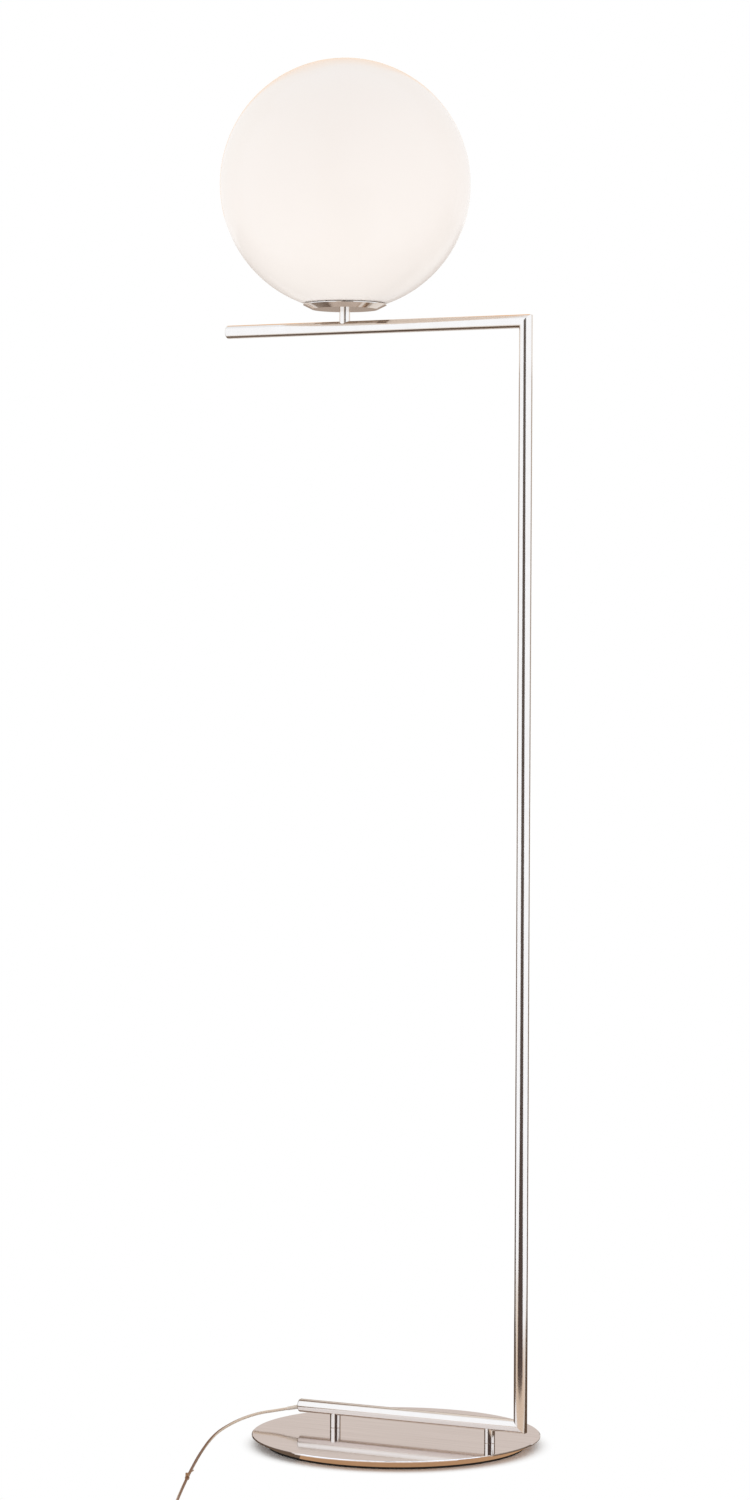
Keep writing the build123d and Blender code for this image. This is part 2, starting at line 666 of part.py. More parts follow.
def cord_to_plug():
    z = PLUG_THICKNESS / 2
    route = [coil_lead(coil_turns, CORD_DIAMETER), coil_lead(coil_turns, CORD_DIAMETER + COIL_RUN),
             on_run(*COIL_WAY_OUT), on_run(PLUG_TIP_X - COIL_RUN, 0, z), on_run(PLUG_TIP_X, 0, z)]
    return cord_tube("cord_to_plug", route)


def coil_tie():
    """Strap closed round the coil's turns."""
    room = CORD_DIAMETER / 2 + RUNNING
    inner = COIL_INNER_RADIUS - room - TIE_WIDTH ** 2 / (8 * COIL_INNER_RADIUS)
    outer = coil_start_radius + room
    high = coil_top_z + room
    middle, width = -(inner + outer) / 2, outer - inner
    hole = Pos(0, middle, (TIE_THICKNESS + high) / 2) * Box(2 * TIE_WIDTH, width, high - TIE_THICKNESS)
    band = Pos(0, middle, (high + TIE_THICKNESS) / 2) * Box(
        TIE_WIDTH, width + 2 * TIE_THICKNESS, high + TIE_THICKNESS)
    band = fillet(band.edges().filter_by(Axis.X), TIE_THICKNESS * (1 - EDGE)) - hole
    return run * Pos(COIL_START_X, coil_centre_y, 0) * band


def cord_marker():
    """Small tie left on the cord: a ring, its square head and the cut tail."""
    ring = Rot(0, 90, 0) * (Cylinder(CORD_DIAMETER / 2 + SLIP + MARKER_WALL, MARKER_WIDTH)
                            - Cylinder(CORD_DIAMETER / 2 + SLIP, 2 * MARKER_WIDTH))
    side = CORD_DIAMETER / 2 + SLIP
    lock = Pos(0, 0, side + MARKER_HEAD / 2) * Box(MARKER_HEAD, MARKER_HEAD, MARKER_HEAD)
    lock = fillet(lock.edges().filter_by(Axis.Z), EDGE)
    tail = Pos(0, 0, side + MARKER_HEAD / 2) * Rot(MARKER_TAIL_TILT, 0, 0) * Pos(0, MARKER_TAIL / 2, 0) * Box(
        MARKER_WIDTH, MARKER_TAIL, MARKER_TAIL_SHEET)
    first, last = (Vector(*spot) for spot in marker_run)
    spot = (first + last) * 0.5
    heading = math.degrees(math.atan2(last.Y - first.Y, last.X - first.X))
    return Pos(spot.X, spot.Y, marker_z) * Rot(0, 0, heading) * (ring + lock + tail)


# Foot switch
shell_foot_z = SWITCH_FOOT
shell_split_z = shell_foot_z + SWITCH_BASE_HEIGHT
shell_top_z = shell_split_z + SWITCH_COVER_HEIGHT
floor_in_z = shell_foot_z + SWITCH_WALL
ceiling_z = shell_top_z - SWITCH_WALL
block_high_z = floor_in_z + CONTACT_BLOCK[2]
flange_high_z = ceiling_z - RUNNING
flange_low_z = flange_high_z - BUTTON_FLANGE
switch_screw_x = [-SWITCH_SCREW_SPACING / 2, SWITCH_SCREW_SPACING / 2]


def stadium(inset, low, high):
    """Upright block with round ends, drawn in from the switch's outline."""
    face = SlotOverall(SWITCH_LENGTH - 2 * inset, SWITCH_WIDTH - 2 * inset)
    return Pos(0, 0, low) * extrude(face, high - low)


def switch_base():
    tray = stadium(0, shell_foot_z, shell_split_z)
    tray = chamfer(tray.edges().group_by(Axis.Z)[0], SWITCH_WALL / 2)
    tray -= stadium(SWITCH_WALL, floor_in_z, shell_split_z)
    hole = SWITCH_SCREW_DIAMETER + 2 * SLIP
    for x in switch_screw_x:
        boss = rod(SWITCH_SCREW_HEAD + SWITCH_WALL, floor_in_z, shell_split_z)
        tray += Pos(x, 0, 0) * boss
        tray -= Pos(x, 0, 0) * (rod(hole, shell_foot_z, shell_split_z)
                                + rod(SWITCH_SCREW_HEAD + 2 * SLIP, shell_foot_z, floor_in_z))
    return run * tray


def switch_cover():
    lid = stadium(0, shell_split_z, shell_top_z)
    lid = fillet(lid.edges().group_by(Axis.Z)[-1], SWITCH_WALL)
    lid -= stadium(SWITCH_WALL, shell_split_z, ceiling_z)
    lid -= rod(BUTTON_DIAMETER + 2 * RUNNING, shell_split_z, shell_top_z)
    for x in switch_screw_x:
        lid += Pos(x, 0, 0) * rod(SWITCH_SCREW_HEAD + SWITCH_WALL, shell_split_z, ceiling_z)
        lid -= Pos(x, 0, 0) * rod(SWITCH_SCREW_DIAMETER + 2 * SLIP, shell_split_z, ceiling_z)
    return run * lid


def switch_screws():
    screw = rod(SWITCH_SCREW_DIAMETER, floor_in_z, ceiling_z - SLIP)
    screw += rod(SWITCH_SCREW_HEAD, shell_foot_z + SWITCH_WALL / 2, floor_in_z)
    return Compound([run * Pos(x, 0, 0) * screw for x in switch_screw_x])


def switch_feet():
    foot = rod(SWITCH_SCREW_HEAD + SWITCH_WALL, 0, shell_foot_z)
    side = SWITCH_WIDTH / 2 - SWITCH_SCREW_HEAD
    length = (SWITCH_LENGTH - SWITCH_WIDTH) / 2
    return Compound([run * Pos(x, y, 0) * foot for x in (-length, length) for y in (-side, side)])


def switch_button():
    """Foot button with a flange that stays under the cover and a plunger for the contacts."""
    crown_z = shell_top_z + BUTTON_RISE
    cap = rod(BUTTON_DIAMETER, flange_high_z, crown_z)
    cap = fillet(cap.edges().group_by(Axis.Z)[-1], BUTTON_RISE / 3)
    cap += rod(BUTTON_DIAMETER + 2 * SWITCH_WALL, flange_low_z, flange_high_z)
    cap += rod(PLUNGER_DIAMETER, block_high_z + BUTTON_TRAVEL + RUNNING, flange_low_z)
    return run * cap


def switch_block():
    block = Pos(0, 0, floor_in_z + CONTACT_BLOCK[2] / 2) * Box(*CONTACT_BLOCK)
    return run * block


def switch_terminals():
    block = Pos(0, 0, floor_in_z + TERMINAL[2] / 2) * Box(*TERMINAL)
    return Compound([run * Pos(side * TERMINAL_SPACING / 2, 0, 0) * block for side in (-1, 1)])


def switch_spring():
    """Open coil spring round the plunger."""
    radius = (SPRING_DIAMETER - SPRING_WIRE) / 2
    low = block_high_z + SPRING_WIRE / 2
    high = flange_low_z - SPRING_WIRE / 2

    def point_at(turn):
        angle = 2 * math.pi * turn
        z = low + (high - low) * turn / SPRING_TURNS
        return on_run(radius * math.cos(angle), radius * math.sin(angle), z)

    path = winding(point_at, SPRING_TURNS, SPRING_WIRE)
    coil = tube_along(path, SPRING_WIRE)
    slab = run * Pos(0, 0, (block_high_z + flange_low_z) / 2) * Box(
        2 * SPRING_DIAMETER, 2 * SPRING_DIAMETER, flange_low_z - block_high_z)
    gap = self_gap(path, SPRING_WIRE, math.pi * SPRING_DIAMETER)
    print("switch_spring least self gap", round(gap, 2))
    return coil & slab


def switch_bushes():
    """Tapered strain reliefs at both ends of the switch."""
    bush = Cone(BUSH_ROOT_DIAMETER / 2, BUSH_TIP_DIAMETER / 2, BUSH_LENGTH, align=ON_FOOT)
    end = Pos(SWITCH_LENGTH / 2, 0, SWITCH_CORD_HEIGHT) * Rot(0, 90, 0) * bush
    return Compound([run * end, run * Rot(0, 0, 180) * end])


# Plug
plug_tail_x = PLUG_TIP_X + BUSH_LENGTH
plug_face_x = plug_tail_x + PLUG_LENGTH


def plug_body():
    wide, tail = PLUG_WIDTH / 2, PLUG_TAIL_WIDTH / 2
    shoulder_x = plug_tail_x + PLUG_LENGTH / 2
    outline = make_face(Polyline((plug_tail_x, -tail), (shoulder_x, -wide), (plug_face_x, -wide),
                                 (plug_face_x, wide), (shoulder_x, wide), (plug_tail_x, tail), close=True))
    body = extrude(outline, PLUG_THICKNESS)
    body = fillet(body.edges().filter_by(Axis.Z), PLUG_THICKNESS / 4)
    body = chamfer(body.edges().group_by(Axis.Z)[0] + body.edges().group_by(Axis.Z)[-1], EDGE * 2)
    for side in (-1, 1):
        seat = Rot(0, 90, 0) * rod(PIN_DIAMETER + 2 * SLIP, -PIN_SEAT, 0)
        body -= Pos(plug_face_x, side * PIN_SPACING / 2, PLUG_THICKNESS / 2) * seat
    return run * body


def plug_pins():
    pin = rod(PIN_DIAMETER, -PIN_SEAT, PIN_LENGTH)
    pin = Rot(0, 90, 0) * fillet(pin.edges().group_by(Axis.Z)[-1], PIN_DIAMETER / 4)
    return Compound([run * Pos(plug_face_x, side * PIN_SPACING / 2, PLUG_THICKNESS / 2) * pin
                     for side in (-1, 1)])


def plug_bush():
    bush = Cone(BUSH_TIP_DIAMETER / 2, BUSH_ROOT_DIAMETER / 2, BUSH_LENGTH, align=ON_FOOT)
    return run * Pos(PLUG_TIP_X, 0, PLUG_THICKNESS / 2) * Rot(0, 90, 0) * bush


nodes = {
    "base_pad": base_pad(),
    "base_plate": base_plate(),
    "base_screws": base_screws(),
    "lower_arm": lower_arm(),
    "post": post(),
    "upper_arm": upper_arm(),
    "lower_arm_cap": lower_arm_cap(),
    "upper_arm_cap": end_cap(upper_end_x, upper_z),
    "stem_anchor": stem_anchor(),
    "stem_nipple": stem_nipple(),
    "stem_sleeve": stem_sleeve(),
    "holder_dish": holder_dish(),
    "globe_spring": globe_spring(),
    "dish_washer": dish_washer(),
    "dish_nut": dish_nut(),
    "globe_gasket": globe_gasket(),
    "globe": globe(),
    "holder_cap": holder_cap(),
    "holder_shell": holder_shell(),
    "holder_block": holder_block(),
    "holder_screw_shell": holder_screw_shell(),
    "holder_contact": holder_contact(),
    "bulb_tip": bulb_tip(),
    "bulb_cap": bulb_cap(),
    "bulb_body": bulb_body(),
    "bulb_dome": bulb_dome(),
    "inner_lead": inner_lead(),
    "lamp_wires": lamp_wires(),
    "cord_relief": cord_relief(),
    "cord_to_switch": cord_to_switch(),
    "cord_marker": cord_marker(),
    "switch_base": switch_base(),
    "switch_cover": switch_cover(),
    "switch_button": switch_button(),
    "switch_spring": switch_spring(),
    "switch_block": switch_block(),
    "switch_terminals": switch_terminals(),
    "switch_screws": switch_screws(),
    "switch_feet": switch_feet(),
    "switch_bushes": switch_bushes(),
    "cord_to_coil": cord_to_coil(),
    "cord_coil": cord_coil(),
    "coil_tie": coil_tie(),
    "cord_to_plug": cord_to_plug(),
    "plug_bush": plug_bush(),
    "plug_body": plug_body(),
    "plug_pins": plug_pins(),
}
for name, x in standoff_x.items():
    nodes[f"standoff_{name}"] = standoff(x)

os.makedirs("parts", exist_ok=True)
for name, shape in nodes.items():
    export_step(shape, f"parts/{name}.step")
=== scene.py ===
"""Looks of the floor lamp with a glass ball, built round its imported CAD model. Metres, +Z up."""

import math

import bmesh
import bpy
from mathutils import Matrix, Vector


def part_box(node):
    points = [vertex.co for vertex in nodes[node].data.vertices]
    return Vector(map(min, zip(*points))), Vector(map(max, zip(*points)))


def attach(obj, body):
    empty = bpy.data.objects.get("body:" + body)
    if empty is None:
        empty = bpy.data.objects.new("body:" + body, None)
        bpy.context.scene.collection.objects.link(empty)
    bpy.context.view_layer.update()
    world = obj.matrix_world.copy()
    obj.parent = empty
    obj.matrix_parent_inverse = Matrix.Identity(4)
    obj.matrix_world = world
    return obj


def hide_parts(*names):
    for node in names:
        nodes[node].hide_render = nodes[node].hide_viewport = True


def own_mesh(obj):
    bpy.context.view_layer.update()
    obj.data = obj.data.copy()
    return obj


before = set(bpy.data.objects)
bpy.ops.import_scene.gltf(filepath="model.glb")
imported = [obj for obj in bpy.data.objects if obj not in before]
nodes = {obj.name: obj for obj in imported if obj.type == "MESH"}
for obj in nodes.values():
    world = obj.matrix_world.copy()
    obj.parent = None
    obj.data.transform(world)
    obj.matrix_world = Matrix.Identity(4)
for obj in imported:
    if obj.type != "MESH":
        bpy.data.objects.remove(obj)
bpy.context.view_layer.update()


# Base pad: a disc of foam rubber glued under the plate, so that the steel does not mark the floor.
# Die-cut from black sheet, matt and slightly porous. The switch's feet are cut from the same sheet.
PORE_SPACING = 0.00111       # real pores are about 0.3 mm apart, too fine for the picture
PORE_DEPTH = 0.0004


def linear(hex_colour):
    """sRGB hex to the linear colour that the shaders take."""
    shares = [int(hex_colour[i:i + 2], 16) / 255 for i in (1, 3, 5)]
    return tuple(c / 12.92 if c <= 0.04045 else ((c + 0.055) / 1.055) ** 2.4 for c in shares) + (1.0,)


def add(tree, kind, inputs=(), **settings):
    """Adds a node with its settings, and sets or links the inputs that are named."""
    node = tree.nodes.new(kind)
    for name, value in settings.items():
        setattr(node, name, value)
    for socket, value in inputs:
        if isinstance(value, bpy.types.NodeSocket):
            tree.links.new(value, node.inputs[socket])
        else:
            node.inputs[socket].default_value = value
    return node


def finish_named(name):
    """New material with its tree and its empty Principled shader."""
    material = bpy.data.materials.new(name)
    material.use_nodes = True
    return material, material.node_tree, material.node_tree.nodes["Principled BSDF"]


def dress(material, *names):
    """Gives CAD nodes a finish."""
    for name in names:
        slots = nodes[name].data.materials
        slots.clear()
        slots.append(material)


foam_rubber, tree, shader = finish_named("foam_rubber")
place = add(tree, "ShaderNodeTexCoord")
pores = add(tree, "ShaderNodeTexVoronoi", [("Vector", place.outputs["Object"]), ("Scale", 1 / PORE_SPACING)])
pits = add(tree, "ShaderNodeBump", [("Height", pores.outputs["Distance"]), ("Strength", 0.5),
                                    ("Distance", PORE_DEPTH)])
shade = add(tree, "ShaderNodeMix", [("Factor", pores.outputs["Distance"]), ("A", linear("#1A1816")),
                                    ("B", linear("#2C2926"))], data_type="RGBA")
tree.links.new(shade.outputs["Result"], shader.inputs["Base Color"])
tree.links.new(pits.outputs["Normal"], shader.inputs["Normal"])
shader.inputs["Roughness"].default_value = 0.9
dress(foam_rubber, "base_pad", "switch_feet")

# Base plate: a turned steel disc with an undercut rim, nickel plated and brushed along the arm.
# The satin finish still mirrors the arm and the cord, a little blurred along the brushing.
BRUSH_SPACING = 0.0016       # real lines are about 0.2 mm apart, too fine for the picture
BRUSH_LENGTH = 0.12
BRUSH_DEPTH = 0.0002
satin_nickel, tree, shader = finish_named("satin_nickel")
place = add(tree, "ShaderNodeTexCoord")
along = add(tree, "ShaderNodeMapping", [("Vector", place.outputs["Object"]),
                                        ("Scale", (1 / BRUSH_LENGTH, 1 / BRUSH_SPACING, 1 / BRUSH_SPACING))])
lines = add(tree, "ShaderNodeTexNoise", [("Vector", along.outputs["Vector"]), ("Scale", 1.0),
                                         ("Detail", 3.0)])
streak = add(tree, "ShaderNodeMapRange", [("Value", lines.outputs["Fac"]), ("From Min", 0.35),
                                          ("From Max", 0.65)])
gloss = add(tree, "ShaderNodeMapRange", [("Value", streak.outputs["Result"]), ("To Min", 0.05),
                                         ("To Max", 0.08)])
tint = add(tree, "ShaderNodeMix", [("Factor", streak.outputs["Result"]), ("A", linear("#DAD0CB")),
                                   ("B", linear("#EBE3DF"))], data_type="RGBA")
grain = add(tree, "ShaderNodeBump", [("Height", lines.outputs["Fac"]), ("Strength", 0.02),
                                     ("Distance", BRUSH_DEPTH)])
tree.links.new(tint.outputs["Result"], shader.inputs["Base Color"])
tree.links.new(gloss.outputs["Result"], shader.inputs["Roughness"])
tree.links.new(grain.outputs["Normal"], shader.inputs["Normal"])
shader.inputs["Metallic"].default_value = 1.0
dress(satin_nickel, "base_plate")

# Tube frame: 16 mm steel tube, mitred, welded and ground, then polished and nickel plated.
# Polishing leaves a near mirror with a faint haze. Caps, stand-offs, stem and dish are finished with it.
HAZE_PATCH = 0.01667


def mottled(name, patch, dark, light, roughness, detail=2.0):
    """Finish whose colour wanders between two shades in patches of that size, with its tree and pattern."""
    material, tree, shader = finish_named(name)
    place = add(tree, "ShaderNodeTexCoord")
    patches = add(tree, "ShaderNodeTexNoise", [("Vector", place.outputs["Object"]), ("Scale", 1 / patch),
                                               ("Detail", detail)])
    tint = add(tree, "ShaderNodeMix", [("Factor", patches.outputs["Fac"]), ("A", linear(dark)),
                                       ("B", linear(light))], data_type="RGBA")
    tree.links.new(tint.outputs["Result"], shader.inputs["Base Color"])
    shader.inputs["Roughness"].default_value = roughness
    return material, tree, shader, patches.outputs["Fac"]


polished_nickel, tree, shader, haze = mottled("polished_nickel", HAZE_PATCH, "#D9CCC0", "#DFD3C8",
                                              roughness=0.13, detail=4.0)
gloss = add(tree, "ShaderNodeMapRange", [("Value", haze), ("To Min", 0.12), ("To Max", 0.15)])
tree.links.new(gloss.outputs["Result"], shader.inputs["Roughness"])
shader.inputs["Metallic"].default_value = 1.0
dress(polished_nickel, "lower_arm", "post", "upper_arm", "lower_arm_cap", "upper_arm_cap",
      "standoff_post_side", "standoff_cord_side", "stem_sleeve", "holder_dish")

# Wires inside the frame: the lead that is drawn through the three tubes, and its two cores in the stem.
# Clear PVC over insulated copper, so a glossy, uneven brown, pulled in before the caps go on.
SHEATH_PATCH = 0.00833
inner_sheath = mottled("inner_sheath", SHEATH_PATCH, "#8A6B50", "#B79A80", roughness=0.3)[0]
dress(inner_sheath, "inner_lead", "lamp_wires")

# Fastenings: screws, nut, washer, nipple, bulb cap and plug pins, and the leaves that hold the ball.
# Turned or stamped steel, zinc plated, which gives a cool, slightly cloudy grey.
ZINC_CLOUD = 0.00286
zinc, tree, shader, _ = mottled("zinc_plated_steel", ZINC_CLOUD, "#B9BCC0", "#D3D5D8", roughness=0.32,
                                detail=3.0)
shader.inputs["Metallic"].default_value = 1.0
dress(zinc, "base_screws", "stem_nipple", "dish_washer", "dish_nut", "bulb_cap", "switch_screws", "plug_pins",
      "globe_spring")

# Brass fittings: the anchor bar in the upper arm, the holder's screw shell and contact, the terminals.
# Turned from bar or stamped from strip and left bare, so bright and a little uneven in tone.
BRASS_CLOUD = 0.00455
brass, tree, shader, _ = mottled("turned_brass", BRASS_CLOUD, "#C9A558", "#DDBD74", roughness=0.28,
                                 detail=3.0)
shader.inputs["Metallic"].default_value = 1.0
dress(brass, "stem_anchor", "holder_screw_shell", "holder_contact", "switch_terminals")

# Lampholder and bulb: a holder of polyester, and a frosted polycarbonate dome on a moulded cooling body.
# Moulded, off-white and softly glossy, with the faint orange peel of the mould. Light spreads in the dome.
ORANGE_PEEL = 0.00143
PEEL_DEPTH = 0.0002
FROST_SIZE = 0.00111         # real frost is finer than 0.1 mm, too fine for the picture
FROST_REACH = (0.006, 0.005, 0.004)
holder_plastic, tree, shader, peel = mottled("moulded_polyester", ORANGE_PEEL, "#E6E3DB", "#EFECE5",
                                             roughness=0.38)
skin = add(tree, "ShaderNodeBump", [("Height", peel), ("Strength", 0.15), ("Distance", PEEL_DEPTH)])
tree.links.new(skin.outputs["Normal"], shader.inputs["Normal"])
dress(holder_plastic, "holder_cap", "holder_shell", "holder_block", "bulb_tip", "bulb_body", "switch_block")

frosted, tree, shader, _ = mottled("frosted_polycarbonate", FROST_SIZE, "#F1EEE8", "#F7F5F0", roughness=0.5)
shader.inputs["Subsurface Weight"].default_value = 0.4
shader.inputs["Subsurface Radius"].default_value = FROST_REACH
shader.inputs["Subsurface Scale"].default_value = 1.0
dress(frosted, "bulb_dome")

# Seal: a flat ring of silicone between the ball's neck and the dish.
# Punched from milky, matt sheet, soft enough to take up the ground edge of the glass.
SILICONE_CLOUD = 0.00333
silicone = mottled("silicone", SILICONE_CLOUD, "#DEDCD7", "#E8E6E1", roughness=0.55)[0]
dress(silicone, "globe_gasket")

# Ball: mouth-blown opal glass, cased in clear, with a ground neck that stands in the dish.
# The white layer is warm and even. The skin is etched, so that only its rim mirrors the room.
BLOWN_WAVE = 0.2
WAVE_DEPTH = 0.002
opal_glass, tree, shader, wave = mottled("opal_glass", BLOWN_WAVE, "#F7EFEA", "#F9F3EE", roughness=0.22,
                                         detail=1.0)
swell = add(tree, "ShaderNodeBump", [("Height", wave), ("Strength", 0.04), ("Distance", WAVE_DEPTH)])
tree.links.new(swell.outputs["Normal"], shader.inputs["Normal"])
shader.inputs["Specular IOR Level"].default_value = 0.12
dress(opal_glass, "globe")

# Foot switch and plug: housings of cream ABS, the switch in two halves that are screwed together.
# Moulded in a spark-eroded tool, which leaves a fine, even, matt grain.
GRAIN_SPACING = 0.000714     # real grain is about 0.2 mm, too fine for the picture
GRAIN_DEPTH = 0.0002
abs_grain, tree, shader = finish_named("grained_abs")
place = add(tree, "ShaderNodeTexCoord")
spark = add(tree, "ShaderNodeTexVoronoi", [("Vector", place.outputs["Object"]), ("Scale", 1 / GRAIN_SPACING)])
tint = add(tree, "ShaderNodeMix", [("Factor", spark.outputs["Distance"]), ("A", linear("#E4DED3")),
                                   ("B", linear("#EDE8DE"))], data_type="RGBA")
skin = add(tree, "ShaderNodeBump", [("Height", spark.outputs["Distance"]), ("Strength", 0.25),
                                    ("Distance", GRAIN_DEPTH)])
tree.links.new(tint.outputs["Result"], shader.inputs["Base Color"])
tree.links.new(skin.outputs["Normal"], shader.inputs["Normal"])
shader.inputs["Roughness"].default_value = 0.45
dress(abs_grain, "switch_base", "switch_cover", "switch_button", "plug_body")

# Grip rings: three low ridges round the middle of the foot button, so that a shoe does not slip off it.
# Moulded in one with the button, in the same ABS, and half sunk into its crown.
RING_RADII = (0.0038, 0.0068, 0.0098)
RING_THICKNESS = 0.0012


def round_section(shape, segments, thickness, middle):
    """Upright round section of a ring or wire, ready to be spun."""
    section = bmesh.ops.create_circle(shape, segments=segments, radius=thickness / 2)["verts"]
    bmesh.ops.rotate(shape, verts=section, matrix=Matrix.Rotation(math.radians(90), 3, "X"))
    bmesh.ops.translate(shape, verts=section, vec=middle)
    return section + [edge for edge in shape.edges if all(vert in section for vert in edge.verts)]


def make(name, shape, material):
    """Object of a finished shape, with its material. Round sides are smooth and end faces flat."""
    for face in shape.faces:
        face.smooth = len(face.verts) == 4
    mesh = bpy.data.meshes.new(name)
    shape.to_mesh(mesh)
    shape.free()
    mesh.materials.append(material)
    made = bpy.data.objects.new(name, mesh)
    bpy.context.scene.collection.objects.link(made)
    return made


button_low, button_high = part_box("switch_button")
crown = Vector(((button_low[0] + button_high[0]) / 2, (button_low[1] + button_high[1]) / 2, button_high[2]))
shape = bmesh.new()
for radius in RING_RADII:
    section = round_section(shape, 12, RING_THICKNESS, crown + Vector((radius, 0, 0)))
    bmesh.ops.spin(shape, geom=section, cent=crown, axis=(0, 0, 1), angle=2 * math.pi, steps=48,
                   use_merge=True)
bmesh.ops.recalc_face_normals(shape, faces=shape.faces)
button_grip = make("button_grip", shape, abs_grain)
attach(button_grip, "foot_button")

# Switch spring: four open turns of zinc-plated steel wire round the button's plunger.
# It stands on the contact block, and the button presses it together.
SPRING_WIRE = 0.0008
SPRING_TURNS = 4
STEPS_PER_TURN = 32
spring_low, spring_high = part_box("switch_spring")
foot = Vector((crown.x, crown.y, spring_low[2]))
height = spring_high[2] - spring_low[2]
wind_radius = (spring_high[0] - spring_low[0] - SPRING_WIRE) / 2
steps = SPRING_TURNS * STEPS_PER_TURN
shape = bmesh.new()
section = round_section(shape, 10, SPRING_WIRE, foot + Vector((wind_radius, 0, SPRING_WIRE / 2)))
bmesh.ops.spin(shape, geom=section, cent=foot, axis=(0, 0, 1), angle=2 * math.pi * SPRING_TURNS, steps=steps,
               dvec=(0, 0, (height - SPRING_WIRE) / steps))
bmesh.ops.holes_fill(shape, edges=[edge for edge in shape.edges if edge.is_boundary], sides=0)
bmesh.ops.recalc_face_normals(shape, faces=shape.faces)
pressed_spring = make("pressed_spring", shape, zinc)
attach(pressed_spring, "stand")
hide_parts("switch_spring")
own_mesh(pressed_spring)

# Strain reliefs: tapered sleeves on the cord at the arm, at both ends of the switch and at the plug.
# Moulded on in clear PVC, and cream from the cores inside.
RELIEF_CLOUD = 0.00385
relief_pvc = mottled("relief_pvc", RELIEF_CLOUD, "#D2C1AF", "#E0D2C3", roughness=0.3)[0]
dress(relief_pvc, "cord_relief", "switch_bushes", "plug_bush")

# Ribs: low rings round the reliefs of switch and plug, moulded in one with them.
# They let the relief bend in an even curve where the cord is pulled sideways.
SWITCH_END = 0.032           # along the run, from the middle of the switch
PLUG_TIP = 0.160             # along the run, where the cord goes into the plug's relief
CORD_AT_SWITCH = 0.006       # heights of the cord's middle at the switch and at the plug
CORD_AT_PLUG = 0.0075
RELIEF_LENGTH = 0.014
ROOT_RADIUS, TIP_RADIUS = 0.004, 0.0023
RIB_PLACES = (0.18, 0.40, 0.62, 0.84)        # shares of the relief's length, from its root
RIB_THICKNESS = 0.0011
RUN_TURN = math.radians(28)                  # the run goes from the switch over the coil to the plug
run = Matrix.Translation((0.072, -0.480, 0)) @ Matrix.Rotation(RUN_TURN, 4, "Z")


def rib_rings(name, root, tip, height):
    """Rings round a relief, given by where its root and its tip are along the run and by its height."""
    shape = bmesh.new()
    for share in RIB_PLACES:
        middle = Vector((root + (tip - root) * share, 0, height))
        radius = ROOT_RADIUS + (TIP_RADIUS - ROOT_RADIUS) * share
        section = round_section(shape, 10, RIB_THICKNESS, middle + Vector((0, 0, radius)))
        bmesh.ops.spin(shape, geom=section, cent=middle, axis=(1, 0, 0), angle=2 * math.pi, steps=32,
                       use_merge=True)
    bmesh.ops.transform(shape, matrix=run, verts=shape.verts)
    bmesh.ops.recalc_face_normals(shape, faces=shape.faces)
    ribs = make(name, shape, relief_pvc)
    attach(ribs, "stand")
    return ribs


ribs_lamp_side = rib_rings("relief_ribs_lamp_side", -SWITCH_END, -SWITCH_END - RELIEF_LENGTH, CORD_AT_SWITCH)
ribs_plug_side = rib_rings("relief_ribs_plug_side", SWITCH_END, SWITCH_END + RELIEF_LENGTH, CORD_AT_SWITCH)
ribs_plug = rib_rings("relief_ribs_plug", PLUG_TIP + RELIEF_LENGTH, PLUG_TIP, CORD_AT_PLUG)

# Cord: two insulated cores, one cream and one brown, side by side under a clear PVC sheath.
# The pair rolls over slowly along the cord, so that the cream core shows first and then the brown one.
CORD_DIAMETER = 0.0034
CORD_ROLL = 0.75             # cord for one full roll of the pair
LAMP_CORD_LENGTH = 0.61


def on_run(x, y, z):
    """Point along and across the line of switch, coil and plug."""
    return run @ Vector((x, y, z))


def sheath(name, length, phase):
    """Clear sheath over the two cores, for a cord of that length."""
    material, tree, shader = finish_named(name)
    place = add(tree, "ShaderNodeTexCoord")
    split = add(tree, "ShaderNodeSeparateXYZ", [("Vector", place.outputs["UV"])])
    roll = add(tree, "ShaderNodeMath", [(0, split.outputs["X"]), (1, length / CORD_ROLL),
                                        (2, split.outputs["Y"])], operation="MULTIPLY_ADD")
    turn = add(tree, "ShaderNodeMath", [(0, roll.outputs["Value"]), (1, 2 * math.pi), (2, phase)],
               operation="MULTIPLY_ADD")
    side = add(tree, "ShaderNodeMath", [(0, turn.outputs["Value"])], operation="SINE")
    core = add(tree, "ShaderNodeMapRange", [("Value", side.outputs["Value"]), ("From Min", -0.35),
                                            ("From Max", 0.35)])
    tint = add(tree, "ShaderNodeMix", [("Factor", core.outputs["Result"]), ("A", linear("#7A4F2B")),
                                       ("B", linear("#D8C4B0"))], data_type="RGBA")
    tree.links.new(tint.outputs["Result"], shader.inputs["Base Color"])
    shader.inputs["Roughness"].default_value = 0.45
    shader.inputs["Specular IOR Level"].default_value = 0.25
    shader.inputs["Coat Weight"].default_value = 0.1
    shader.inputs["Coat Roughness"].default_value = 0.2
    return material


def lay_cord(name, points, steps):
    """Round cord on one smooth NURBS line, with its route's points as control points."""
    curve = bpy.data.curves.new(name, "CURVE")
    curve.dimensions = "3D"
    curve.bevel_depth = 1.0
    curve.bevel_resolution = 4
    curve.resolution_u = steps
    curve.use_fill_caps = True
    spline = curve.splines.new("NURBS")
    spline.points.add(len(points) - 1)
    for point, spot in zip(spline.points, points):
        point.co = (*spot, 1.0)
        point.radius = CORD_DIAMETER / 2
    spline.order_u = 3
    spline.use_endpoint_u = True
    spline.use_smooth = True
    cord = bpy.data.objects.new(name, curve)
    bpy.context.scene.collection.objects.link(cord)
    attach(cord, "stand")
    return cord


